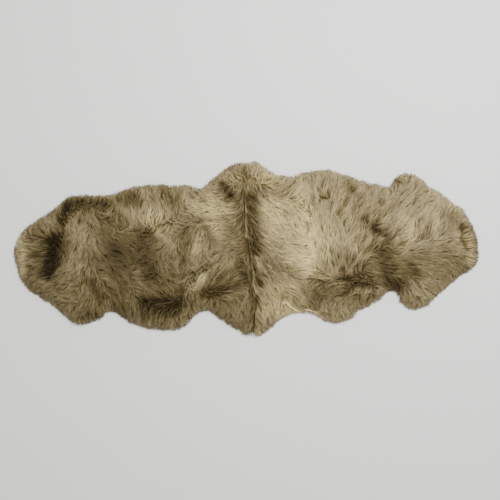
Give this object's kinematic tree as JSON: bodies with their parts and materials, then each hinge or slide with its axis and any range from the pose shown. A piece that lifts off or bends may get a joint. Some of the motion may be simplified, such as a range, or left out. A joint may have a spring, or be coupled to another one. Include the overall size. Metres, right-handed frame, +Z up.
{
  "type": "double sheepskin rug, laid flat",
  "caption": "Long sheepskin rug of two dyed pelts sewn end to end, lying flat, wool side up, with a lumpy pile, partings and locks along its uneven rim.",
  "frame": {"origin": "middle of the rug's outline, on the floor that its skin side lies on", "axes": "+X along the rug's length from the left pelt to the right pelt, +Y across it, +Z up out of the wool"},
  "size_m": [1.8068, 0.6958, 0.0596],
  "materials": {
    "left_fleece": "long dyed wool, olive brown, soft and matt, darker at the roots",
    "right_fleece": "long dyed wool, sandy beige, soft and matt, darker at the roots"
  },
  "bodies": {
    "root": {"left_pelt": "left_fleece", "right_pelt": "right_fleece"}
  },
  "joints": []
}
